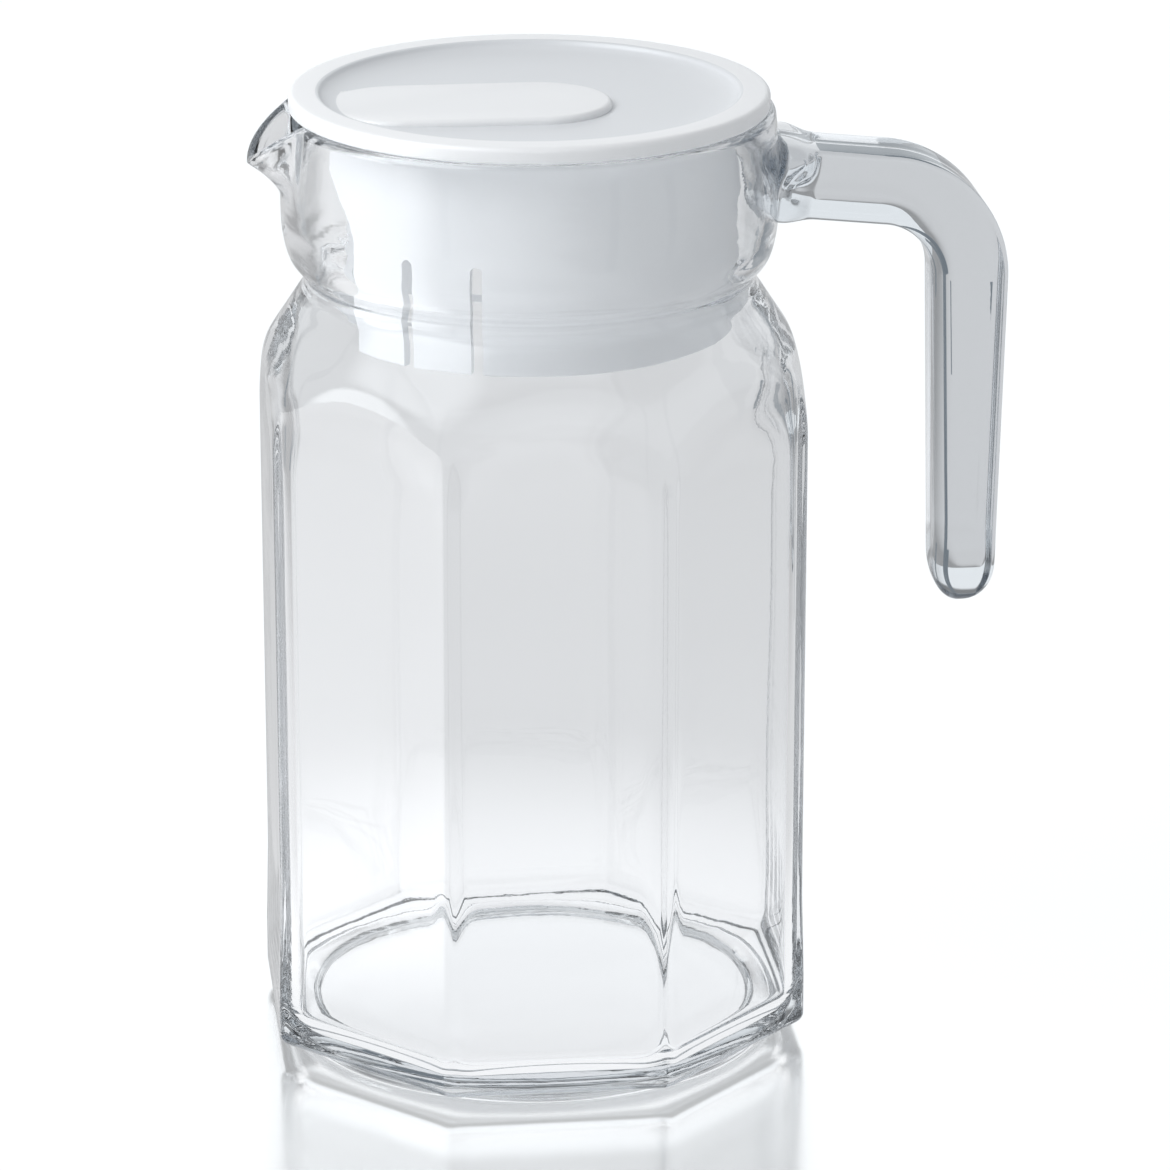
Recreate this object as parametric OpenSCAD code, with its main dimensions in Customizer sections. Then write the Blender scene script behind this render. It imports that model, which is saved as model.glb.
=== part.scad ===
// Eight-sided pressed-glass jug with a glass handle and a push-in plastic lid.
// Millimetres, +Z up. The origin is the centre of the foot, on the jug's axis.
// The handle stands on the +X side and the spout on the -X side.

/* [Glass body] */
// Width of the body from flat to flat
body_w = 100; // [90:1:125]
// Height up to which the eight upright edges run
edge_z = 126.5; // [100:0.5:136]
// Thickness of the side walls
wall_t = 3.1; // [2.2:0.1:4.5]
// How far the eight upright edges are rounded back
edge_relief = 0.5; // [0.2:0.1:1.2]
// Radius of the body's lower edge
sole_round = 2; // [1:0.2:5]
// Height of the inner floor above the table
floor_z = 5; // [4:0.2:14]
// Radius where the inner floor turns up into the walls
well_round = 6; // [3:0.5:14]

/* [Foot] */
// Diameter of the round foot
foot_d = 94.4; // [70:0.2:96]
// Height of the foot below the eight-sided body
foot_h = 2.5; // [1.5:0.1:4]
// Width of the ring that the jug stands on
foot_ring_w = 5; // [3:0.5:10]
// Depth of the hollow inside that ring
foot_hollow = 1.6; // [0.8:0.1:3]
// Radius of the ring's outer edge
foot_round = 0.6; // [0.3:0.1:1.2]

/* [Neck] */
// Height of the round shoulder, from the upright edges to the waist
shoulder_h = 21.7; // [17:0.1:28]
// How far the waist is drawn in below the neck
waist_in = 4.2; // [2:0.1:7]
// Greatest outer diameter of the neck
neck_d = 92.8; // [89:0.2:98]
// Height of the neck, from the waist to the glass rim
neck_h = 32.3; // [29:0.1:40]
// Thickness of the neck's wall
neck_t = 3.1; // [2.8:0.1:4]
// Radius of both edges of the rim
rim_round = 1.2; // [0.5:0.1:1.3]

/* [Spout] */
// How far the beak stands out of the neck
spout_reach = 6.7; // [4:0.1:10]
// How far the tip of the lip lies below the rim
spout_drop = 8; // [5:0.2:10]
// Distance below the rim at which the beak leaves the neck
spout_h = 15.6; // [14:0.2:20]
// Width of the beak where it leaves the neck
spout_w = 26.2; // [20:0.2:32]
// Width of the dip that the lip makes in the rim
lip_w = 25.6; // [20:0.2:32]
// Radius of the rounded lip
lip_round = 1.5; // [1.2:0.1:1.7]

/* [Handle] */
// Distance from the jug's axis to the outer face of the grip
handle_reach = 89.6; // [84:0.2:110]
// Distance from the rim down to the middle of the arm where it turns down
arm_drop = 16.7; // [14:0.1:20]
// Thickness of arm and grip, seen from the side
handle_t = 14; // [10:0.5:16]
// Thickness of the grip above its rounded end
grip_end_t = 11.6; // [8:0.2:14]
// Width of the handle across the jug
handle_w = 16; // [12:0.5:20]
// Radius of the bend, measured at the middle of the glass
bend_r = 17; // [13:0.5:22]
// Slope of the arm, rising towards the neck, in degrees
arm_slope = 4.4; // [0:0.2:8]
// Height of the handle, from the middle of the arm to the lowest point of the grip
handle_h = 83; // [60:0.5:115]
// Length of the grip's rounded end
grip_round = 9; // [6:0.5:14]
// Radius of the handle's four long edges
handle_edge = 4.2; // [2:0.2:5]
// Thickness of the pad of glass pressed onto the neck
pad_t = 4.4; // [3:0.2:7]
// Height of that pad
pad_h = 15.6; // [14.4:0.2:20]
// Width of that pad
pad_w = 21.6; // [16:0.2:26]
// Length over which the pad rounds down to the arm
pad_round = 3.2; // [1.5:0.1:5]

/* [Lid] */
// Width of glass rim left bare around the lid
rim_show = 1.1; // [0.5:0.1:2]
// Thickness of the lid's flange at its edge
flange_t = 3.2; // [2:0.1:5]
// Radius of the flange's upper edge
flange_round = 1.1; // [0.4:0.1:1.4]
// Width of the ring around the dished top
top_ring_w = 5; // [3:0.2:8]
// Depth of the dish below that ring
dish_depth = 5; // [3:0.2:8]
// Thickness of the lid's walls
lid_t = 1.8; // [1.2:0.1:2.4]
// Gap between the skirt and the glass waist
skirt_clearance = 0.5; // [0.3:0.05:1.2]
// Length of the skirt below the rim
skirt_h = 41.5; // [36:0.5:50]
// How much wider the skirt is at the top than at the bottom
skirt_draft = 0.8; // [0:0.1:2]

/* [Lid bar and openings] */
// Width of the raised bar in the dish
bar_w = 28.6; // [20:0.2:34]
// How far the bar's rounded end passes the middle of the lid
bar_past = 15.4; // [10:0.2:22]
// Distance from the bar's other end to the dish's edge
bar_end_gap = 1.4; // [0:0.1:4]
// Depth of the bar's flat top below the ring
bar_sink = 2.1; // [1:0.1:2.8]
// Radius of the bar's upper edge
bar_round = 1; // [0.4:0.1:1.6]
// Width of the pouring gap in the skirt
gap_w = 40; // [30:0.5:48]
// Width of the four straining slots
slot_w = 2.2; // [1.4:0.1:3.2]
// Height of the straining slots
slot_h = 21; // [12:0.5:28]
// Angle of the first slot from the spout, in degrees
slot_angle_near = 50; // [45:1:58]
// Angle of the second slot from the spout, in degrees
slot_angle_far = 70; // [64:1:85]

/* [Hidden] */

sides = 8;
half_side = 180 / sides;
half_turn = 180;
right_angle = 90;
round_fn = 96;
over = 1;

// Glass body
flat_r = body_w / 2;
edge_r = flat_r / cos(half_side) - edge_relief;
in_flat_r = flat_r - wall_t;
in_edge_r = in_flat_r / cos(half_side) - edge_relief;
foot_r = foot_d / 2;
ring_in_r = foot_r - foot_ring_w;

// Heights
waist_z = edge_z + shoulder_h;
rim_z = waist_z + neck_h;
arm_z = rim_z - arm_drop;
grip_end_z = arm_z - handle_h;

// Shoulder and neck, as shares of the way out from the waist and of the way along
shoulder_shares = [
    [0, 0], [0.05, 0.08], [0.15, 0.155], [0.34, 0.31],
    [0.6, 0.52], [0.78, 0.7], [0.91, 0.86], [1, 1]
];
neck_shares = [
    [0, 0], [0.08, 0.045], [0.33, 0.085], [0.66, 0.145],
    [0.88, 0.24], [1, 0.38], [1, 0.66], [0.93, 0.86]
];
rim_in_share = 0.86;
neck_r = neck_d / 2;
waist_r = neck_r - waist_in;
rim_r = waist_r + (neck_r - waist_r) * rim_in_share;
rim_in_r = rim_r - neck_t;

// Spout
beak_blunt_power = 2.5;
beak_fall_power = 1.2;
lip_blunt_power = 1.5;
lip_fall_power = 1.1;
ramp_power = 1.6;
spout_half = asin(spout_w / 2 / neck_r);
lip_half = asin(lip_w / 2 / neck_r);
lip_r = rim_r - lip_round;
bead_share = 0.97;
spout_z = rim_z - spout_h;
spout_sink = 0.4;
spout_turns = 36;
spout_rises = 9;
bead_steps = 12;

// Handle
pad_bury_share = 0.7;
end_cut_angle = 84;
grip_shares = [0.33, 0.66];
edge_limit_share = 0.46;
grip_x = handle_reach - handle_t / 2;
bend_x = grip_x - bend_r;
bend_z = arm_z - bend_r;
bend_end = right_angle - arm_slope;
arm_start = [bend_x + bend_r * cos(bend_end), bend_z + bend_r * sin(bend_end)];
root_x = neck_r - neck_t * pad_bury_share;
pad_end = neck_r + pad_t - root_x;
root_len = pad_end + pad_round;
arm_len = (arm_start[0] - root_x) / cos(arm_slope);
grip_len = bend_z - grip_end_z;
bend_steps = 18;
root_steps = 12;
end_steps = 10;
edge_steps = 5;

// Lid
lid_z = rim_z + flange_t;
flange_r = rim_r - rim_show;
dish_r = flange_r - top_ring_w;
skirt_r = waist_r - neck_t - skirt_clearance;
skirt_top_r = skirt_r + skirt_draft;
skirt_z = rim_z - skirt_h;
skirt_in_r = skirt_r - lid_t;
skirt_in_top_r = skirt_top_r - lid_t;
bar_z = lid_z - bar_sink;
bar_r = bar_w / 2;
bar_back = dish_r - bar_r - bar_end_gap;
dish_shares = [
    [1, 0], [0.975, 0.2], [0.93, 0.5], [0.86, 0.74],
    [0.74, 0.89], [0.5, 0.97], [0.25, 1], [0, 1]
];
gap_shares = [[0.46, 0.08], [0.56, 0.16], [0.76, 0.28], [0.93, 0.38], [1, 0.48]];
gap_from_share = 0.73;
SLOT_ANGLES = [slot_angle_near, slot_angle_far, -slot_angle_near, -slot_angle_far];

// One point of a smooth curve between b and c, at t from 0 to 1
function curve_point(a, b, c, d, t) =
    let (
        slope = c - a,
        bow = 2 * a - 5 * b + 4 * c - d,
        twist = 3 * b - a - 3 * c + d
    )
    (2 * b + slope * t + bow * t * t + twist * t * t * t) / 2;

// A smooth curve through all the points, with n steps between neighbours
function smooth(p, n) = [
    for (i = [0 : len(p) - 2], k = [0 : n - 1])
        curve_point(p[max(i - 1, 0)], p[i], p[i + 1], p[min(i + 2, len(p) - 1)], k / n),
    p[len(p) - 1]
];

// Points on an arc from angle a to angle b
function arc(cx, cz, r, a, b, n) =
    [for (i = [0 : n]) [cx + r * cos(a + (b - a) * i / n), cz + r * sin(a + (b - a) * i / n)]];

// A list in the opposite order
function reversed(p) = [for (i = [len(p) - 1 : -1 : 0]) p[i]];

// Places on the shoulder, from the upright edges to the waist
function shoulder(r_waist, r_edge, z_edge) = [
    for (s = reversed(shoulder_shares))
        [r_waist + (r_edge - r_waist) * s[0], waist_z - (waist_z - z_edge) * s[1]]
];

// Places on the neck, from the waist to just under the rim
function neck(inset) = [
    for (s = neck_shares)
        [waist_r + (neck_r - waist_r) * s[0] - inset, waist_z + (rim_z - waist_z) * s[1]]
];

// The shoulder as a smooth curve that stops short of the waist
function shoulder_part(r_waist, r_edge, z_edge) =
    [for (p = smooth(shoulder(r_waist, r_edge, z_edge), 2)) if (p[1] < waist_z) p];

// Outer half outline of the glass above the foot
neck_curve = smooth(neck(0), 2);
outer_curve = concat(
    shoulder_part(waist_r, edge_r, edge_z),
    neck_curve,
    arc(rim_r - rim_round, rim_z - rim_round, rim_round, 0, 90, 5)
);

// Inner half outline, a wall's thickness inside the outer one
inner_curve = concat(
    shoulder_part(waist_r - neck_t, in_edge_r, edge_z - wall_t / 2),
    smooth(neck(neck_t), 2),
    reversed(arc(rim_in_r + rim_round, rim_z - rim_round, rim_round, 90, 180, 5))
);

// Outer radius of the neck at a height
function neck_radius(z) = lookup(z, [for (p = neck_curve) [p[1], p[0]]]);

// A swell of 1 at its middle that falls to 0 where u is 1
function swell(u, blunt_power, fall_power) =
    pow(max(0, 1 - pow(min(1, abs(u)), blunt_power)), fall_power);

// How far out and how deep the spout is at an angle from its middle, from 1 to 0
function beak(angle) = swell(angle / spout_half, beak_blunt_power, beak_fall_power);
function dip(angle) = swell(angle / lip_half, lip_blunt_power, lip_fall_power);

// Height of the middle of the rounded lip at an angle
function lip_z(angle) = rim_z - lip_round - spout_drop * dip(angle);

// Radius of the beak's surface, a share s of the way up to the lip
function beak_radius(angle, s, inset) =
    neck_radius(spout_z + (lip_z(angle) - spout_z) * s) - inset - spout_sink
    + (spout_reach + spout_sink) * beak(angle) * pow(s, ramp_power);

// A closed solid through outlines of equal length, end caps included
module loft(outlines) {
    n = len(outlines[0]);
    m = len(outlines);
    walls = [
        for (j = [0 : m - 2], i = [0 : n - 1])
            let (a = j * n + i, b = j * n + (i + 1) % n)
            each [[a, b, b + n], [a, b + n, a + n]]
    ];
    ends = [[for (i = [n - 1 : -1 : 0]) i], [for (i = [0 : n - 1]) (m - 1) * n + i]];
    polyhedron(points = [for (o = outlines) each o], faces = concat(walls, ends));
}

// A solid swept round the axis on the spout's side, from one upright outline per angle
module sweep_round(outlines, half) {
    turned = [
        for (j = [0 : len(outlines) - 1])
            let (a = half_turn - half + 2 * half * j / (len(outlines) - 1))
            [for (p = outlines[j]) [p[0] * cos(a), p[0] * sin(a), p[1]]]
    ];
    loft(turned);
}

// Eight-sided block with its lower edge rounded, from four crossed slabs.
// Above z_wide it is wider, so that a broad neck isn't cut by it.
module eight_sided_block(r, z_low, z_wide, z_high, edge) {
    intersection_for (i = [0 : sides / 2 - 1])
        rotate([90, 0, i * 2 * half_side])
            linear_extrude(height = 4 * r, center = true)
                union() {
                    translate([-r, z_low + edge])
                        square([2 * r, z_high - z_low - edge]);
                    translate([-r + edge, z_low])
                        square([2 * (r - edge), z_high - z_low]);
                    translate([-2 * r, z_wide])
                        square([4 * r, z_high - z_wide]);
                    for (side = [-1, 1])
                        translate([side * (r - edge), z_low + edge])
                            circle(r = edge, $fn = round_fn);
                }
}

// The neck and shoulder as a solid of revolution
module turned_glass(curve, r, z_low, z_high) {
    last_r = curve[len(curve) - 1][0];
    rotate_extrude($fn = round_fn)
        polygon(concat([[0, z_low], [r, z_low]], curve, [[last_r, z_high], [0, z_high]]));
}

// Upright outlines of the beak, filled in as far as core, and up to z_top at least
function beak_outlines(inset, core, z_top) = [
    for (j = [0 : spout_turns])
        let (
            a = spout_half * (1 - 2 * j / spout_turns),
            top = lip_z(a),
            end = max(top + spout_sink, z_top)
        )
        concat(
            [[core, spout_z]],
            [
                for (i = [0 : spout_rises])
                    let (s = i / spout_rises)
                    [beak_radius(a, s, inset), spout_z + (top - spout_z) * s]
            ],
            [[beak_radius(a, 1, inset), end], [core, end]]
        )
];

// Upright outlines of the dip that the lip makes in the rim
function dip_outlines() = [
    for (j = [0 : spout_turns])
        let (
            a = lip_half * (1 - 2 * j / spout_turns),
            low = rim_z + spout_sink - (spout_drop + lip_round + spout_sink) * dip(a),
            r_in = rim_in_r - 2 * neck_t,
            r_out = neck_r + spout_reach + neck_t
        )
        [[r_in, low], [r_out, low], [r_out, rim_z + 2 * over], [r_in, rim_z + 2 * over]]
];

// Upright outlines of the rounded bead that finishes the lip
function bead_outlines() = [
    for (j = [0 : spout_turns])
        let (
            a = lip_half * (1 - 2 * j / spout_turns),
            r = lip_r + spout_reach * beak(a),
            z = lip_z(a),
            bead = lip_round * bead_share
        )
        arc(r, z, bead, 0, 2 * half_turn * (1 - 1 / bead_steps), bead_steps - 1)
];

// Round foot with the hollow under the floor
module foot() {
    rotate_extrude($fn = round_fn)
        polygon(concat(
            [[0, foot_hollow], [ring_in_r - foot_hollow, foot_hollow], [ring_in_r, 0]],
            arc(foot_r - foot_round, foot_round, foot_round, -90, 0, 4),
            [[foot_r, foot_h + sole_round], [0, foot_h + sole_round]]
        ));
}

// The jug without its handle: octagonal body, round shoulder, waist, neck and pulled spout
module glass_body() {
    color([0.86, 0.9, 0.92, 0.35])
        union() {
            difference() {
                union() {
                    intersection() {
                        turned_glass(outer_curve, edge_r, foot_h, rim_z);
                        eight_sided_block(flat_r, foot_h, waist_z, rim_z + over, sole_round);
                    }
                    foot();
                    sweep_round(beak_outlines(0, rim_in_r - neck_t / 2, 0), spout_half);
                }
                intersection() {
                    turned_glass(inner_curve, in_edge_r, floor_z, rim_z + over);
                    eight_sided_block(in_flat_r, floor_z, waist_z, rim_z + 2 * over, well_round);
                }
                sweep_round(beak_outlines(neck_t, rim_in_r - 2 * neck_t, rim_z + over), spout_half);
                sweep_round(dip_outlines(), lip_half);
            }
            sweep_round(bead_outlines(), lip_half);
        }
}

// Outline of the handle across its path: a rectangle with rounded corners
function handle_section(t, w, edge) = [
    for (corner = [0 : 3], k = [0 : edge_steps])
        let (
            a = right_angle * (corner + k / edge_steps),
            sx = (corner == 0 || corner == 3) ? 1 : -1,
            sy = corner < 2 ? 1 : -1
        )
        [sx * (t / 2 - edge) + edge * cos(a), sy * (w / 2 - edge) + edge * sin(a)]
];

// How much of the pad is left at a distance along the root, from 1 to 0
function pad_left(d) = (1 + cos(half_turn * min(1, max(0, (d - pad_end + pad_round) / (2 * pad_round))))) / 2;

// Share of the full section that is left in the rounded end, at a share u of its length
function end_share(u) = sqrt(max(0, 1 - u * u));

// Stations along the handle: place in the XZ plane, direction of the outward side, thickness, width
function root_station(i) =
    let (d = root_len * i / root_steps, k = pad_left(d))
    [
        [root_x + d * cos(arm_slope), arm_start[1] + (arm_len - d) * sin(arm_slope)],
        bend_end,
        handle_t + (pad_h - handle_t) * k,
        handle_w + (pad_w - handle_w) * k
    ];
function bend_station(i) =
    let (a = bend_end * (1 - i / bend_steps))
    [[bend_x + bend_r * cos(a), bend_z + bend_r * sin(a)], a, handle_t, handle_w];
function grip_station(s) = [
    [grip_x, bend_z - (grip_len - grip_round) * s],
    0,
    handle_t + (grip_end_t - handle_t) * s,
    handle_w
];
function end_station(i) =
    let (u = sin(end_cut_angle * i / end_steps), k = end_share(u))
    [[grip_x, grip_end_z + grip_round * (1 - u)], 0, grip_end_t * k, handle_w * k];

stations = concat(
    [for (i = [0 : root_steps]) root_station(i)],
    [for (i = [0 : bend_steps]) bend_station(i)],
    [for (s = grip_shares) grip_station(s)],
    [for (i = [0 : end_steps]) end_station(i)]
);

// One section of the handle, set square across its path
function placed_section(s) =
    let (edge = min(handle_edge, s[2] * edge_limit_share, s[3] * edge_limit_share))
    [
        for (p = handle_section(s[2], s[3], edge))
            [s[0][0] + p[0] * cos(s[1]), p[1], s[0][1] + p[0] * sin(s[1])]
    ];

// The L-shaped handle, its root pressed onto the neck as a pad
module glass_handle() {
    color([0.82, 0.87, 0.9, 0.45])
        difference() {
            loft([for (s = stations) placed_section(s)]);
            turned_glass(outer_curve, edge_r, edge_z, rim_z);
        }
}

// Half outline of the lid's dish, from its edge to the middle
function dish_curve(r, z, depth) =
    smooth([for (s = dish_shares) [r * s[0], z - depth * s[1]]], 2);

// The lid's turned shell: flange, dished top and skirt
module lid_shell() {
    under = [for (p = dish_curve(dish_r - lid_t, lid_z - lid_t, dish_depth)) if (p[0] < skirt_in_top_r) p];
    rotate_extrude($fn = round_fn)
        polygon(concat(
            [[skirt_in_r, skirt_z], [skirt_r, skirt_z], [skirt_top_r, rim_z], [flange_r, rim_z]],
            arc(flange_r - flange_round, lid_z - flange_round, flange_round, 0, 90, 5),
            dish_curve(dish_r, lid_z, dish_depth),
            reversed(under)
        ));
}

// Half section of a bar with a flat top and rounded upper edge
module bar_side(r, z_low, z_high, edge) {
    polygon(concat([[0, z_low], [r, z_low]], arc(r - edge, z_high - edge, edge, 0, 90, 5), [[0, z_high]]));
}

// A bar with two round ends, one near the dish's edge and one past the lid's middle
module round_ended_bar(r, z_low, z_high, edge) {
    bar_front = bar_past - bar_r;
    for (x = [-bar_back, bar_front])
        translate([x, 0, 0])
            rotate_extrude($fn = round_fn)
                bar_side(r, z_low, z_high, edge);
    translate([-bar_back, 0, 0])
        rotate([90, 0, 90])
            linear_extrude(height = bar_back + bar_front)
                union() {
                    bar_side(r, z_low, z_high, edge);
                    mirror([1, 0])
                        bar_side(r, z_low, z_high, edge);
                }
}

// The pouring gap that faces the spout, cut through one side of the skirt
module pour_gap() {
    curve = smooth([for (s = gap_shares) [gap_w / 2 * s[0], rim_z - skirt_h * s[1]]], 2);
    rotate([90, 0, -90])
        translate([0, 0, skirt_in_r * gap_from_share])
            linear_extrude(height = skirt_r)
                polygon(concat(
                    curve,
                    [[gap_w / 2, skirt_z - over], [-gap_w / 2, skirt_z - over]],
                    reversed([for (p = curve) [-p[0], p[1]]])
                ));
}

// The straining slots, open at the skirt's lower edge
module slots() {
    for (a = SLOT_ANGLES)
        rotate([0, 0, half_turn + a])
            translate([skirt_in_r - lid_t, -slot_w / 2, skirt_z - over])
                cube([3 * lid_t + skirt_draft, slot_w, slot_h + over]);
}

// The push-in lid, moulded in one piece
module lid() {
    color([0.95, 0.96, 0.97])
        difference() {
            union() {
                difference() {
                    lid_shell();
                    pour_gap();
                    slots();
                }
                intersection() {
                    round_ended_bar(bar_r, lid_z - lid_t - dish_depth, bar_z, bar_round);
                    cylinder(r = dish_r, h = lid_z, $fn = round_fn);
                }
            }
            intersection() {
                round_ended_bar(bar_r - lid_t, skirt_z, bar_z - lid_t, bar_round);
                cylinder(r = skirt_in_r - lid_t, h = lid_z, $fn = round_fn);
            }
        }
}

glass_body();
glass_handle();
lid();
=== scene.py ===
"""Looks for an eight-sided pressed-glass jug with a glass handle and a push-in white lid.

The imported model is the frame. The glass body, the glass handle and the lid each get a finely
modelled piece that stands for the solid of the same name, because clear glass shows every facet.
The classes of the pieces hold their sizes in millimetres, which become metres where a mesh is
made. The finishes and the studio are in metres.
"""

from __future__ import annotations

import logging
import math
from bisect import bisect_right
from dataclasses import dataclass
from enum import Enum
from functools import cache, cached_property
from typing import Callable

import bmesh
import bpy
from mathutils import Matrix, Vector, noise

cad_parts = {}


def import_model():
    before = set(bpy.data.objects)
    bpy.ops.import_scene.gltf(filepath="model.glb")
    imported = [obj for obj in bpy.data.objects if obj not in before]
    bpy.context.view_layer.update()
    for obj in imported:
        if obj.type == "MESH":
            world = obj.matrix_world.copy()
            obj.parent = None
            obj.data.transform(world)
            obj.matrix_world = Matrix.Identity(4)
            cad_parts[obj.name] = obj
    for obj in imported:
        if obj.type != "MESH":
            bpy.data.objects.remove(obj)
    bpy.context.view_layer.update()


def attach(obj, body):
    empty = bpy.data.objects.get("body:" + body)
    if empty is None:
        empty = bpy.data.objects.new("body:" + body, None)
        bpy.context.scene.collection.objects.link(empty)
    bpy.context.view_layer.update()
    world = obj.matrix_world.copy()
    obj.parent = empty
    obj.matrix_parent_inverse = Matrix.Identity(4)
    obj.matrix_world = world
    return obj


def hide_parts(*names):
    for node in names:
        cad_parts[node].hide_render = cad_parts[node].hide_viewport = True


log = logging.getLogger("glass_jug")

MM = 0.001
EIGHTH = math.pi / 4
# Name of the lid's face mark for the painted shade in its dish.
RECESS_SHADE = "recess"
WHITE = (1.0, 1.0, 1.0)

# Level directions on the floor: across the photograph, and towards its viewer.
ACROSS = (0.9937, -0.1124, 0.0)
TO_CAMERA = (-ACROSS[1], -ACROSS[0], 0.0)

Point = tuple[float, float]
Place = tuple[float, float, float]
Heights = tuple[float, float, float, float]
Outline = list[Point]
Ring = list[Vector]
Socket = bpy.types.NodeSocket


class Side(Enum):
    """Which face of the glass wall a point of the outline lies on."""

    OUTER = "outer"
    INNER = "inner"


# Curves


def curve_through(points: Outline, steps: int) -> Outline:
    """Lays a smooth curve through points.

    Args:
        points: the places that the curve passes, in order.
        steps: how many short lines stand between two neighbours.

    Returns:
        The curve's points, ends included.
    """
    out: Outline = []
    last = len(points) - 1
    for i in range(last):
        a, b = points[max(i - 1, 0)], points[i]
        c, d = points[i + 1], points[min(i + 2, last)]
        for k in range(steps):
            t = k / steps
            out.append(tuple(_between(a[j], b[j], c[j], d[j], t) for j in (0, 1)))
    out.append(points[last])
    return out


def _between(a: float, b: float, c: float, d: float, t: float) -> float:
    """Gives the smooth value between b and c at t, from the four neighbours."""
    bow = 2 * a - 5 * b + 4 * c - d
    twist = 3 * b - a - 3 * c + d
    return (2 * b + (c - a) * t + bow * t * t + twist * t**3) / 2


def arc(cx: float, cz: float, r: float, start: float, end: float, steps: int) -> Outline:
    """Gives points on an arc.

    Args:
        cx: the centre's distance from the axis.
        cz: the centre's height.
        r: the radius.
        start: the first angle in degrees.
        end: the last angle in degrees.
        steps: how many short lines the arc has.

    Returns:
        The arc's points, ends included.
    """
    turn = [math.radians(start + (end - start) * i / steps) for i in range(steps + 1)]
    return [(cx + r * math.cos(a), cz + r * math.sin(a)) for a in turn]


def line(start: Point, end: Point, steps: int) -> Outline:
    """Gives points on a straight line, the first one left out."""
    return [
        tuple(start[j] + (end[j] - start[j]) * i / steps for j in (0, 1))
        for i in range(1, steps + 1)
    ]


def radius_at(curve: Outline, z: float) -> float:
    """Gives the radius of an upward outline at a height.

    Args:
        curve: the outline.
        z: the height.

    Returns:
        The radius, or that of the nearer end where the height lies past the outline.
    """
    i = bisect_right(curve, z, key=lambda point: point[1])
    if i == 0 or i == len(curve):
        return curve[min(i, len(curve) - 1)][0]
    (r0, z0), (r1, z1) = curve[i - 1], curve[i]
    return r0 + (r1 - r0) * (z - z0) / (z1 - z0)


def soft_min(a: float, b: float, blend: float) -> float:
    """Gives the smaller of two radii, rounded where they are nearly equal."""
    near = max(blend - abs(a - b), 0.0) / blend
    return min(a, b) - near * near * blend / 4


def fade(z: float, start: float, full: float, wane: float, end: float) -> float:
    """Gives a share that rises from 0 to 1, stays there, and falls to 0 again."""
    up = min(1.0, max(0.0, (z - start) / (full - start)))
    down = min(1.0, max(0.0, (end - z) / (end - wane)))
    return up * up * (3 - 2 * up) * down * down * (3 - 2 * down)


def swell(u: float, blunt: float, fall: float) -> float:
    """Gives a swell of 1 at its middle that falls to 0 where u is 1."""
    return max(0.0, 1 - min(1.0, abs(u)) ** blunt) ** fall


def distance_to_octagon(angle: float, flat: float, corner: float) -> float:
    """Gives the distance from the axis to a rounded octagon.

    Args:
        angle: the direction, in radians.
        flat: distance from the axis to the flats.
        corner: radius of the rounded corners.

    Returns:
        The distance, in the unit of the two sizes.
    """
    half = EIGHTH / 2
    off = abs((angle + half) % EIGHTH - half)
    if math.tan(off) * flat <= (flat - corner) * math.tan(half):
        return flat / math.cos(off)
    middle = (flat - corner) / math.cos(half)
    phi = half - off
    return middle * math.cos(phi) + math.sqrt(max(0.0, corner**2 - (middle * math.sin(phi)) ** 2))


# Bench work


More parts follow.
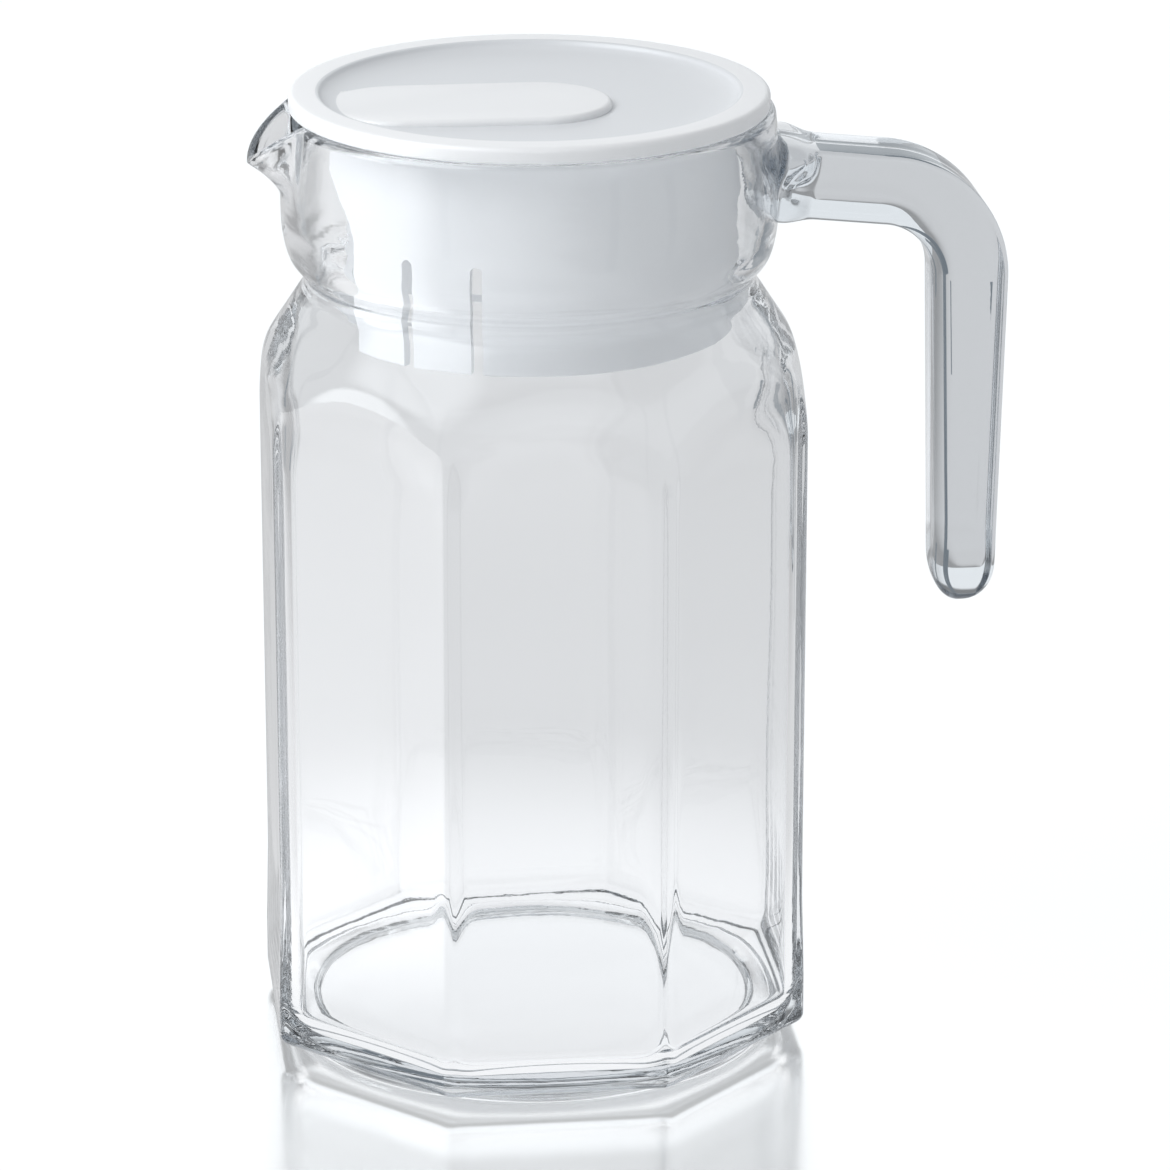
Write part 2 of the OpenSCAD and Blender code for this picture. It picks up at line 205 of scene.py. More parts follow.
class Bench:
    """The few hand moves that every piece here is made with."""

    WELD = 0.002

    @staticmethod
    def clear() -> None:
        """Leaves edit mode and deselects everything."""
        if bpy.context.object and bpy.context.object.mode != "OBJECT":
            bpy.ops.object.mode_set(mode="OBJECT")
        bpy.ops.object.select_all(action="DESELECT")

    @classmethod
    def take(cls, obj: bpy.types.Object) -> None:
        """Makes one object the only selected and active one."""
        cls.clear()
        obj.select_set(True)
        bpy.context.view_layer.objects.active = obj

    @classmethod
    def start(
        cls, name: str, primitive: Callable, place: Place = (0, 0, 0), **size: float
    ) -> bpy.types.Object:
        """Adds a primitive, which is then all that is selected.

        Args:
            name: the new object's name.
            primitive: the operator that adds it.
            place: its middle, in metres.
            size: the operator's own sizes, in metres.

        Returns:
            The new object.
        """
        cls.clear()
        primitive(location=place, **size)
        bpy.context.object.name = name
        return bpy.context.object

    @classmethod
    def edit(cls) -> None:
        """Enters edit mode with everything selected."""
        bpy.ops.object.mode_set(mode="EDIT")
        bpy.ops.mesh.select_all(action="SELECT")

    @classmethod
    def close(cls) -> None:
        """Turns all faces of the mesh in hand outwards and leaves edit mode."""
        bpy.ops.mesh.select_all(action="SELECT")
        bpy.ops.mesh.normals_make_consistent(inside=False)
        bpy.ops.object.mode_set(mode="OBJECT")

    @classmethod
    def spun(cls, name: str, outline: Outline, turns: int) -> bpy.types.Object:
        """Turns an upright half outline round the axis.

        Args:
            name: the new object's name.
            outline: distance from the axis and height of each point, in millimetres.
            turns: how many steps the full turn has.

        Returns:
            The turned object, closed, with its faces pointing outwards.
        """
        obj = cls.start(name, bpy.ops.mesh.primitive_plane_add, size=MM)
        cls.edit()
        bpy.ops.mesh.merge(type="CENTER")
        bpy.ops.transform.translate(value=Vector((outline[0][0], 0, outline[0][1])) * MM)
        for a, b in zip(outline, outline[1:]):
            step = Vector((b[0] - a[0], 0, b[1] - a[1])) * MM
            bpy.ops.mesh.extrude_vertices_move(TRANSFORM_OT_translate={"value": step})
        bpy.ops.mesh.select_all(action="SELECT")
        bpy.ops.mesh.spin(steps=turns, angle=math.tau, center=(0, 0, 0), axis=(0, 0, 1), dupli=False)
        bpy.ops.mesh.select_all(action="SELECT")
        bpy.ops.mesh.remove_doubles(threshold=cls.WELD * MM)
        cls.close()
        return obj

    @classmethod
    def through_rings(cls, name: str, rings: list[Ring]) -> bpy.types.Object:
        """Draws a ring of points out from place to place, and closes both ends.

        Args:
            name: the new object's name.
            rings: the places of the ring's points, one list per place, in millimetres.

        Returns:
            The closed object, with its faces pointing outwards.
        """
        obj = cls.start(name, bpy.ops.mesh.primitive_circle_add, vertices=len(rings[0]), radius=MM)
        cls.edit()
        for k, ring in enumerate(rings):
            if k:
                bpy.ops.mesh.extrude_edges_move(TRANSFORM_OT_translate={"value": (0, 0, MM)})
            mesh = bmesh.from_edit_mesh(obj.data)
            picked = sorted((v for v in mesh.verts if v.select), key=lambda v: v.index)
            mesh.verts.index_update()
            for v, place in zip(picked, ring):
                v.co = place * MM
            bmesh.update_edit_mesh(obj.data)
        bpy.ops.mesh.select_all(action="SELECT")
        bpy.ops.mesh.fill_holes(sides=0)
        cls.close()
        return obj

    @classmethod
    def press(cls, obj: bpy.types.Object, mould: Callable[[Vector], Vector]) -> None:
        """Moves each vertex to where a mould puts it and shades the object smooth.

        Args:
            obj: the object.
            mould: gives a point's new place, both in millimetres.
        """
        for v in obj.data.vertices:
            v.co = mould(v.co / MM) * MM
        obj.data.update()
        cls.take(obj)
        bpy.ops.object.shade_smooth()

    @classmethod
    def modify(cls, obj: bpy.types.Object, kind: str, **settings: object) -> None:
        """Gives an object one modifier and applies it.

        Args:
            obj: the object.
            kind: the modifier's type.
            settings: the modifier's settings.
        """
        cls.take(obj)
        mod = obj.modifiers.new(kind.lower(), kind)
        for key, value in settings.items():
            setattr(mod, key, value)
        bpy.ops.object.modifier_apply(modifier=mod.name)

    @classmethod
    def cut(cls, obj: bpy.types.Object, tool: bpy.types.Object, kind: str) -> None:
        """Joins, cuts or trims an object with a tool, and puts the tool away."""
        cls.modify(obj, "BOOLEAN", operation=kind, object=tool, solver="EXACT")
        bpy.data.objects.remove(tool)


# Glass body


@dataclass(frozen=True)
class Wave:
    """One band of unevenness, with the heights where it starts, is full, wanes and ends."""

    heights: Heights
    round: float
    pitch: float
    depth: float


@dataclass
class GlassBody:
    """The pressed jug: octagonal below, round above, with a pulled spout."""

    flat: float = 50.0
    wall: float = 3.1
    outer_corner: float = 2.8
    inner_corner: float = 9.0
    outer_blend: float = 2.0
    inner_blend: float = 4.0
    edge_z: float = 126.5
    edge_ease: float = 0.4
    inner_edge_up: float = -1.0
    ramp_h: float = 10.0
    ramp_gap: float = 0.5
    waist_z: float = 148.2
    waist_r: float = 42.2
    neck_r: float = 46.4
    rim_z: float = 180.5
    rim_share: float = 0.86
    lip_round: float = 1.45
    foot_r: float = 47.2
    foot_h: float = 2.5
    foot_round: float = 0.7
    ring_w: float = 5.0
    ring_ease: Point = (0.5, 0.18)
    hollow: float = 1.6
    hollow_in: float = 2.2
    hollow_round: float = 1.2
    sole_round: float = 2.0
    base_flare: float = 0.5
    flare_heights: Heights = (-2.0, -1.0, 10.0, 32.0)
    floor_z: float = 5.0
    well_round: float = 6.0
    spout_reach: float = 6.7
    spout_drop: float = 8.0
    spout_h: float = 15.6
    spout_rise: float = 1.6
    beak_half: float = 16.4
    lip_half: float = 16.0
    turns: int = 320
    outer_steps: int = 14
    inner_steps: int = 22
    curve_steps: int = 5
    edge_rows: float = 2.0
    edge_spread: float = 4.0
    spout_rows: float = 1.8
    spout_spread: float = 17.0
    row_parts: int = 7200
    near: float = 0.01

    RUN_OUT = ((9.0, 40.0), (5.0, 16.0), (3.2, 10.0), (1.6, 5.0))
    SHOULDER = (
        (0, 0), (0.05, 0.08), (0.15, 0.155), (0.34, 0.31), (0.6, 0.52), (0.78, 0.7), (0.91, 0.86), (1, 1)
    )
    NECK = ((0.08, 0.045), (0.33, 0.085), (0.66, 0.145), (0.88, 0.24), (1, 0.38), (1, 0.66), (0.93, 0.86))
    BEAK_SWELL = (2.5, 1.2)
    LIP_SWELL = (1.5, 1.1)
    WAVES = (
        Wave((22.0, 40.0, 110.0, 126.0), 2.4, 34.0, 0.10),
        Wave((112.0, 126.0, 152.0, 166.0), 3.6, 8.0, 0.36),
        Wave((136.0, 143.0, 156.0, 166.0), 2.2, 3.4, 0.34),
        Wave((150.0, 158.0, 172.0, 178.0), 2.6, 14.0, 0.14),
    )

    @property
    def rim_r(self) -> float:
        """Outer radius of the rim."""
        return self.waist_r + (self.neck_r - self.waist_r) * self.rim_share

    @property
    def well_z(self) -> float:
        """Height at which the inner face's flats start, over the floor's rounded edge."""
        return self.floor_z + self.well_round

    def flat_of(self, side: Side) -> float:
        """Distance from the axis to a face's flats."""
        return self.flat if side is Side.OUTER else self.flat - self.wall

    @cached_property
    def turned(self) -> dict[Side, Outline]:
        """Round shoulder and neck of both faces, upwards, out of reach below the edges."""
        return {
            Side.OUTER: self._turned(self.waist_r, Side.OUTER, 0.0),
            Side.INNER: self._turned(self.waist_r - self.wall, Side.INNER, self.inner_edge_up),
        }

    def _turned(self, waist_r: float, side: Side, shift: float) -> Outline:
        """Gives one face's round shoulder and neck.

        Args:
            waist_r: the face's radius at the waist.
            side: the face.
            shift: how far its upright edges end above the outer ones.

        Returns:
            The half outline, upwards.
        """
        edge_r = self.flat_of(side) / math.cos(EIGHTH / 2) - self.edge_ease
        edge_z = self.edge_z + shift
        out = [(edge_r + r, edge_z - z) for r, z in self.RUN_OUT]
        out += [
            (waist_r + (edge_r - waist_r) * r, self.waist_z - (self.waist_z - edge_z) * z)
            for r, z in reversed(self.SHOULDER)
        ]
        bulge, height = self.neck_r - self.waist_r, self.rim_z - self.waist_z
        out += [(waist_r + bulge * r, self.waist_z + height * z) for r, z in self.NECK]
        return curve_through(out, self.curve_steps)

    def turned_at(self, z: float, side: Side) -> float:
        """Gives the radius of one face's round shoulder and neck at a height."""
        return radius_at(self.turned[side], z)

    def wall_outline(self, side: Side, low_z: float) -> Outline:
        """Gives one face's half outline from a height up to just below the rim.

        Args:
            side: the face.
            low_z: the height at which it starts.

        Returns:
            The outline, upwards, no further out than the flats.
        """
        flat, ramp_z = self.flat_of(side), self.edge_z - self.ramp_h
        steps = self.outer_steps if side is Side.OUTER else self.inner_steps
        out = line((flat, low_z), (flat, ramp_z), steps)
        return out + [(min(flat, r), z) for r, z in self.turned[side] if z > ramp_z + self.ramp_gap]

    def outline(self) -> Outline:
        """Gives the whole half outline, from under the foot round to the inner floor's middle."""
        lip, foot, ring = self.lip_round, self.foot_round, self.foot_r - self.ring_w
        roof, well = ring - self.hollow_in, self.flat - self.wall - self.well_round
        sole_z = self.foot_h + self.sole_round
        out: Outline = [(0.0, self.hollow)]
        out += line((0.0, self.hollow), (roof, self.hollow), 5)
        out += arc(roof, self.hollow - self.hollow_round, self.hollow_round, 90, 40, 4)[1:]
        out += [(ring - self.ring_ease[0], self.ring_ease[1]), (ring, 0.0)]
        out += line((ring, 0.0), (self.foot_r - foot, 0.0), 2)
        out += arc(self.foot_r - foot, foot, foot, -90, 0, 5)[1:]
        out += [(self.foot_r, self.foot_h)]
        out += arc(self.flat - self.sole_round, sole_z, self.sole_round, -85, 0, 8)
        out += self.wall_outline(Side.OUTER, sole_z)
        out += arc(self.rim_r - lip, self.rim_z - lip, lip, 0, 180, 14)
        out += self.wall_outline(Side.INNER, self.well_z)[::-1]
        out += arc(well, self.well_z, self.well_round, 0, -90, 12)
        return out + line((well, self.floor_z), (0.0, self.floor_z), 7)

    def side_of(self, r: float, z: float) -> Side:
        """Tells which face of the wall a point of the turned outline is on."""
        outer = min(self.flat, self.turned_at(z, Side.OUTER))
        below = z < self.floor_z - self.near
        return Side.OUTER if below or r > outer - self.wall / 2 else Side.INNER

    @cached_property
    def rows(self) -> list[float]:
        """Angles of the mesh's upright rows, closer together at the edges and at the spout."""
        total, sums = 0.0, [0.0]
        for i in range(self.row_parts):
            turn = 360 * (i + 0.5) / self.row_parts
            to_edge = (turn % 45 - 22.5) / self.edge_spread
            to_spout = (turn - 180) / self.spout_spread
            total += 1 + self.edge_rows * math.exp(-(to_edge**2)) + self.spout_rows * math.exp(-(to_spout**4))
            sums.append(total)
        out = []
        for k in range(self.turns):
            want = total * k / self.turns
            i = bisect_right(sums, want) - 1
            out.append(math.tau * (i + (want - sums[i]) / (sums[i + 1] - sums[i])) / self.row_parts)
        return out

    def mould(self, p: Vector) -> Vector:
        """Presses a turned point into the octagonal mould and pulls the spout.

        Args:
            p: a point of the turned glass, in millimetres.

        Returns:
            Where the point lies on the finished jug.
        """
        r, z = math.hypot(p.x, p.y), p.z
        if r < self.near:
            return p
        angle = self.rows[round(math.atan2(p.y, p.x) / math.tau * self.turns) % self.turns]
        side = self.side_of(r, z)
        if side is Side.INNER:
            if z < self.waist_z:
                r = self._pressed(r, z, angle, side)
            r += self.unevenness(angle, z)
        elif self.foot_h < z < self.waist_z and r > self.foot_r - self.foot_round:
            r = self._pressed(r, z, angle, side)
        if z > self.rim_z - self.spout_h:
            r, z = self._pulled(r, z, angle)
        return Vector((math.cos(angle) * r, math.sin(angle) * r, z))

    def unevenness(self, angle: float, z: float) -> float:
        """Gives how far the inner face, which no mould half touches, strays at a place.

        Args:
            angle: the place's direction, in radians.
            z: its height.

        Returns:
            The distance, outwards.
        """
        if z < self.well_z:
            return 0.0
        out = 0.0
        for wave in self.WAVES:
            share = fade(z, *wave.heights)
            if share > 0:
                place = Vector((math.cos(angle) * wave.round, math.sin(angle) * wave.round, z / wave.pitch))
                out += wave.depth * share * noise.noise(place)
        return out

    def _pressed(self, r: float, z: float, angle: float, side: Side) -> float:
        """Gives a face's distance from the axis after pressing.

        Args:
            r: the turned point's distance from the axis.
            z: its height.
            angle: its direction, in radians.
            side: the face that it lies on.

        Returns:
            The distance from the axis.
        """
        outer, flat = side is Side.OUTER, self.flat_of(side)
        corner = self.outer_corner if outer else self.inner_corner
        low = z < self.well_z + self.near
        share = min(1.0, r / flat) if low else 1.0
        if outer:
            flat += self.base_flare * fade(z, *self.flare_heights)
        face = distance_to_octagon(angle, flat, corner) * share
        blend = self.outer_blend if outer else self.inner_blend
        return face if low else soft_min(self.turned_at(z, side), face, blend)

    def _pulled(self, r: float, z: float, angle: float) -> Point:
        """Gives the place of a neck point after the spout is pulled.

        Args:
            r: the point's distance from the axis.
            z: its height.
            angle: its direction, in radians.

        Returns:
            The new distance and height.
        """
        off = math.degrees(abs(math.atan2(math.sin(angle), -math.cos(angle))))
        beak = swell(off / self.beak_half, *self.BEAK_SWELL)
        dip = self.spout_drop * swell(off / self.lip_half, *self.LIP_SWELL)
        base, top = self.rim_z - self.spout_h, self.rim_z - self.lip_round
        share = min(1.0, (z - base) / (top - base))
        return r + self.spout_reach * beak * share**self.spout_rise, z - dip * share

    def build(self) -> bpy.types.Object:
        """Makes the glass body, at the origin."""
        obj = Bench.spun("jug_glass_body", self.outline(), self.turns)
        Bench.press(obj, self.mould)
        return obj


# Glass handle


@dataclass(frozen=True)
class Squeeze:
    """A place beside the handle's root where the soft glass is squeezed out, or in."""

    place: Place
    size: float
    out: float

    SPREAD = 0.55
    RISE = 0.15

    def push(self, p: Vector) -> Vector:
        """Gives how far a point of either side moves."""
        side = 1 if p.y > 0 else -1
        middle = Vector((self.place[0], self.place[1] * side, self.place[2]))
        share = math.exp(-((p - middle).length_squared) / (2 * self.size * self.size))
        return Vector((self.SPREAD, side, self.RISE)) * (self.out * share)


@dataclass
class GlassHandle:
    """The L-shaped rod of glass, pressed onto the neck as a pad and open at its lower end."""

    body: GlassBody
    reach: float = 89.6
    arm_z: float = 163.8
    thick: float = 14.0
    end_thick: float = 11.6
    wide: float = 16.0
    bend: float = 17.0
    slope: float = math.radians(4.4)
    low_z: float = 80.8
    end_round: float = 9.0
    end_deep: float = 15.0
    end_turn: float = 88.0
    edge: float = 4.2
    crisp_edge: float = 1.1
    fullest: float = 0.47
    pad: float = 4.4
    pad_high: float = 15.6
    pad_wide: float = 21.6
    pad_round: float = 3.2
    pad_soft: float = 0.4
    sunk: float = 0.12
    root_rise: float = 0.55
    rise_from: float = 66.0
    rise_above: float = 40.0
    corner_steps: int = 8
    flat_steps: int = 6
    arm_steps: int = 44
    bend_steps: int = 30
    grip_steps: int = 18
    end_steps: int = 24

    ROOT_SHARES = (0.02, 0.35, 0.7, 0.92)
    SQUEEZES = (
        Squeeze((47.6, 9.6, 170.3), 2.9, 2.9),
        Squeeze((48.6, 10.0, 165.2), 1.5, -1.2),
    )

    def section(self, t: float, w: float, edge: float, crisp: float) -> Outline:
        """Gives a rectangle with rounded corners, outwards and across.

        Args:
            t: its thickness.
            w: its width.
            edge: the radius of its two inner corners.
            crisp: the radius of its two outer corners.

        Returns:
            The points round its middle.
        """
        out: Outline = []
        for corner in range(4):
            sx = 1 if corner in (0, 3) else -1
            sy = 1 if corner < 2 else -1
            r = min(crisp if sx > 0 else edge, t * self.fullest, w * self.fullest)
            first = 90 * corner
            out += arc(sx * (t / 2 - r), sy * (w / 2 - r), r, first, first + 90, self.corner_steps)
        full: Outline = []
        for k, point in enumerate(out):
            full.append(point)
            if (k + 1) % (self.corner_steps + 1) == 0:
                full += line(point, out[(k + 1) % len(out)], self.flat_steps)[:-1]
        return full

    def pad_left(self, d: float) -> float:
        """Gives how much of the pad is left at a distance from the neck, from 1 to 0."""
        u = min(1.0, max(0.0, (d - self.pad + self.pad_round) / (2 * self.pad_round)))
        return (1 + math.cos(math.pi * u)) / 2

    def rings(self) -> list[Ring]:
        """Gives the rod's rings, from its root on the neck to its rounded end."""
        grip_x = self.reach - self.thick / 2
        middle = Vector((grip_x - self.bend, 0, self.arm_z - self.bend))
        top = math.pi / 2 - self.slope
        out = self._root_rings(middle + Vector((math.cos(top), 0, math.sin(top))) * self.bend)
        for i in range(self.bend_steps + 1):
            a = top * (1 - i / self.bend_steps)
            place = middle + Vector((math.cos(a), 0, math.sin(a))) * self.bend
            out.append(self._placed(place, a, self.thick, self.wide))
        straight = middle.z - self.low_z - self.end_deep
        for i in range(1, self.grip_steps + 1):
            s = i / self.grip_steps
            thick = self.thick + (self.end_thick - self.thick) * s
            out.append(self._placed(Vector((grip_x, 0, middle.z - straight * s)), 0.0, thick, self.wide))
        for i in range(1, self.end_steps + 1):
            u = math.sin(math.radians(self.end_turn * i / self.end_steps))
            high = self.end_deep * (1 - u)
            v = max(0.0, 1 - high / self.end_round)
            thick, wide = self.end_thick * math.sqrt(1 - v * v), self.wide * math.sqrt(1 - u * u)
            out.append(self._placed(Vector((grip_x, 0, self.low_z + high)), 0.0, thick, wide))
        return out

    def _root_rings(self, end: Vector) -> list[Ring]:
        """Gives the rings of the pad and the arm.

        Args:
            end: the arm's end, at the start of the bend.

        Returns:
            The rings, from the neck to that end.
        """
        whole = (end.x - self.body.neck_r) / math.cos(self.slope)
        out = [self._on_neck(end, 0.0, share, whole) for share in self.ROOT_SHARES]
        for i in range(self.arm_steps):
            out.append(self._on_neck(end, whole * i / self.arm_steps, 1.0, whole))
        return out

    def _on_neck(self, end: Vector, d: float, share: float, whole: float) -> Ring:
        """Gives one ring of the arm, bent to the neck's face near it.

        Args:
            end: the arm's end, at the start of the bend.
            d: the ring's distance from the neck.
            share: its size, as a share of the rod's size there.
            whole: the arm's length.

        Returns:
            The ring's points.
        """
        left = self.pad_left(d)
        thick = self.thick + (self.pad_high - self.thick) * left
        wide = self.wide + (self.pad_wide - self.wide) * left
        back = end - Vector((math.cos(self.slope), 0, -math.sin(self.slope))) * (whole - d)
        inner = self.edge * (1 + self.pad_soft * left)
        outer = self.crisp_edge + (self.edge - self.crisp_edge) * left
        turn = math.pi / 2 - self.slope
        ring = self._placed(back, turn, thick * share, wide * share, (inner, outer))
        follow = max(0.0, 1 - d / whole)
        for p in ring:
            face = math.sqrt(max(0.0, self.body.turned_at(p.z, Side.OUTER) ** 2 - p.y**2)) - self.sunk
            p.x += (face - self.body.neck_r) * follow
        return ring

    def _placed(self, place: Vector, turn: float, t: float, w: float, edges: Point | None = None) -> Ring:
        """Gives one ring square across the rod's path.

        Args:
            place: the ring's middle.
            turn: direction of its outward side above level, in radians.
            t: its thickness.
            w: its width.
            edges: the radii of its inner and outer corners, or None for the usual ones.

        Returns:
            The ring's points.
        """
        points = self.section(t, w, *(edges or (self.edge, self.crisp_edge)))
        return [
            Vector((place.x + x * math.cos(turn), y, place.z + x * math.sin(turn)))
            for x, y in points
        ]

    def mould(self, p: Vector) -> Vector:
        """Lifts the arm's root a little and squeezes the glass beside it.

        Args:
            p: a point of the drawn rod, in millimetres.

        Returns:
            Where the point lies on the finished handle.
        """
        lift = max(0.0, (self.rise_from - p.x) / (self.rise_from - self.body.neck_r))
        on_arm = p.z > self.low_z + self.rise_above
        out = p + Vector((0, 0, self.root_rise * lift if on_arm else 0.0))
        for squeeze in self.SQUEEZES:
            out += squeeze.push(p)
        return out

    def build(self) -> bpy.types.Object:
        """Makes the glass handle, at the origin."""
        obj = Bench.through_rings("jug_glass_handle", self.rings())
        Bench.press(obj, self.mould)
        return obj


# Lid


@dataclass
class Lid:
    """The push-in lid: flange, dished top with a raised bar, and a skirt with openings."""

    z: float = 183.7
    rim_z: float = 180.5
    flange_r: float = 44.71
    flange_round: float = 1.1
    flange_edge: float = 0.5
    ring_w: float = 5.0
    ring_in: float = 0.4
    dish_depth: float = 3.5
    wall: float = 1.8
    skirt_r: float = 38.6
    draft: float = 0.8
    skirt_z: float = 139.0
    skirt_edge: float = 0.35
    inner_round: float = 0.6
    inner_drop: float = 1.0
    bar_r: float = 14.3
    bar_past: float = 15.4
    bar_gap: float = 1.4
    bar_sink: float = 2.1
    bar_edge: float = 1.0
    bar_base: float = 0.4
    hollow_in: float = 2.4
    overrun: float = 3.0
    gap_w: float = 40.0
    gap_reach: Point = (-46.0, -27.0)
    slot_w: float = 2.2
    slot_h: float = 21.0
    slot_reach: Point = (33.0, 43.0)
    slots: tuple[float, ...] = (50, 70, -50, -70)
    cut_low: float = 2.0
    turns: int = 256
    curve_steps: int = 6
    round_steps: int = 96
    sharp: float = 32.0
    bar_slack: Point = (0.05, 0.02)
    dish_slack: Point = (0.2, 0.01)
    dish_facing: float = 0.3

    DISH = (
        (1, 0), (0.985, 0.06), (0.968, 0.28), (0.93, 0.5), (0.86, 0.7), (0.74, 0.86),
        (0.5, 0.965), (0.25, 0.995), (0, 1),
    )
    GAP = ((0.46, 0.08), (0.56, 0.16), (0.76, 0.28), (0.93, 0.38), (1, 0.48))

    @property
    def dish_r(self) -> float:
        """Radius of the dish's edge."""
        return self.flange_r - self.ring_w

    @property
    def bar_ends(self) -> Point:
        """Where the middles of the bar's two round ends lie, on the spout side and the other."""
        return self.bar_gap + self.bar_r - self.dish_r, self.bar_past - self.bar_r

    def dish(self, r: float, z: float) -> Outline:
        """Gives the dish's half outline from its edge to the middle."""
        return curve_through([(r * a, z - self.dish_depth * b) for a, b in self.DISH], self.curve_steps)

    def shell(self) -> bpy.types.Object:
        """Turns the flange, the dished top and the skirt."""
        r, z, wall, edge = self.flange_r, self.z, self.wall, self.skirt_edge
        top, low = self.skirt_r + self.draft, self.skirt_r
        inner, skirt, fine = top - wall - self.inner_round, self.skirt_z + edge, self.flange_edge
        out: Outline = [(0.0, z - self.dish_depth - wall)]
        under = [p for p in self.dish(self.dish_r - wall, z - wall) if 0 < p[0] < inner]
        out += under[::-1]
        out += arc(inner, under[0][1] - self.inner_drop, self.inner_round, 60, 0, 3)
        out += line(out[-1], (low - wall, skirt), 8)
        out += arc(low - wall + edge, skirt, edge, 180, 270, 4)[1:]
        out += arc(low - edge, skirt, edge, 270, 360, 4)
        out += line(out[-1], (top, self.rim_z - fine), 8)
        out += arc(top + fine, self.rim_z - fine, fine, 180, 90, 4)
        out += line(out[-1], (r - fine, self.rim_z), 3)
        out += arc(r - fine, self.rim_z + fine, fine, -90, 0, 4)[1:]
        out += arc(r - self.flange_round, z - self.flange_round, self.flange_round, 0, 90, 8)
        out += line(out[-1], (self.dish_r + self.ring_in, z), 4)
        return Bench.spun("jug_lid", out + self.dish(self.dish_r, z)[1:], self.turns)

    def cylinder(self, name: str, r: float, low: float, high: float) -> bpy.types.Object:
        """Makes an upright cylinder on the axis.

        Args:
            name: the new object's name.
            r: its radius.
            low: the height of its underside.
            high: the height of its top.

        Returns:
            The cylinder.
        """
        obj = Bench.start(
            name, bpy.ops.mesh.primitive_cylinder_add, (0, 0, (high + low) / 2 * MM),
            vertices=self.round_steps, radius=r * MM, depth=(high - low) * MM,
        )
        bpy.ops.object.transform_apply(location=True, rotation=True, scale=True)
        return obj

    def stadium(self, name: str, r: float, low: float, high: float) -> bpy.types.Object:
        """Makes a bar with two round ends.

        Args:
            name: the new object's name.
            r: half its width.
            low: the height of its underside.
            high: the height of its top.

        Returns:
            The bar, closed.
        """
        bar = self.cylinder(name, r, low, high)
        spout_end, back_end = self.bar_ends
        for v in bar.data.vertices:
            v.co.x += (back_end if v.co.x > MM * MM else spout_end) * MM
        return bar

    def gap_cutter(self) -> bpy.types.Object:
        """Makes the block that cuts the pouring gap, in the shape of a rounded arch."""
        half_w, height = self.gap_w / 2, self.rim_z - self.skirt_z
        arch = [(half_w * a, self.rim_z - height * b) for a, b in self.GAP]
        half = curve_through(arch, self.curve_steps) + [(half_w, self.skirt_z - self.cut_low)]
        ring = [(-y, z) for y, z in half] + [(y, z) for y, z in reversed(half)]
        places = [[Vector((x, y, z)) for y, z in ring] for x in self.gap_reach]
        return Bench.through_rings("gap_cutter", places)

    def slot_cutter(self, angle: float) -> bpy.types.Object:
        """Makes the bar that cuts one straining slot, with a round upper end.

        Args:
            angle: how far round from the spout the slot stands, in degrees.

        Returns:
            The cutter.
        """
        half, low = self.slot_w / 2, self.skirt_z - self.cut_low
        outline = [(half, low)] + arc(0, self.skirt_z + self.slot_h - half, half, 0, 180, 10) + [(-half, low)]
        turn = Matrix.Rotation(math.radians(180 + angle), 3, "Z")
        places = [[turn @ Vector((x, y, z)) for y, z in outline] for x in self.slot_reach]
        return Bench.through_rings("slot_cutter", places)

    def build(self) -> bpy.types.Object:
        """Makes the lid, at the origin."""
        lid = self.shell()
        Bench.cut(lid, self.gap_cutter(), "DIFFERENCE")
        for angle in self.slots:
            Bench.cut(lid, self.slot_cutter(angle), "DIFFERENCE")
        base, top = self.z - self.wall - self.dish_depth, self.z - self.bar_sink
        bar = self.stadium("bar", self.bar_r, base + self.bar_base, top)
        Bench.modify(bar, "BEVEL", width=self.bar_edge * MM, segments=5, limit_method="ANGLE")
        Bench.cut(lid, bar, "UNION")
        hollow = self.stadium("hollow", self.bar_r - self.wall, base - self.overrun, top - self.wall)
        inside = self.cylinder("inside", self.skirt_r - self.hollow_in * self.wall, self.skirt_z, self.z)
        Bench.cut(hollow, inside, "INTERSECT")
        Bench.cut(lid, hollow, "DIFFERENCE")
        Bench.take(lid)
        bpy.ops.object.shade_smooth_by_angle(angle=math.radians(self.sharp))
        self.mark_shaded_recess(lid)
        return lid

    def mark_shaded_recess(self, lid: bpy.types.Object) -> None:
        """Marks the dish's faces, which get a darker colour as painted shade of the recess.

        Args:
            lid: the lid, whose other faces are marked 0.
        """
        # Painted shade: this mark makes the dish's faces darker, standing in for the recess's shade.
        layer = lid.data.attributes.new(RECESS_SHADE, "FLOAT", "FACE")
        spout_end, back_end = self.bar_ends
        low, high = self.z - self.dish_depth - self.dish_slack[0], self.z - self.dish_slack[1]
        bar_top = self.z - self.bar_sink + self.bar_slack[1]
        for face, mark in zip(lid.data.polygons, layer.data):
            p = face.center / MM
            to_bar = math.hypot(p.x - min(max(p.x, spout_end), back_end), p.y)
            on_bar = to_bar < self.bar_r + self.bar_slack[0] and p.z < bar_top
            dished = face.normal.z > self.dish_facing and low < p.z < high
            mark.value = 1.0 if dished and math.hypot(p.x, p.y) < self.dish_r and not on_bar else 0.0


# Finishes


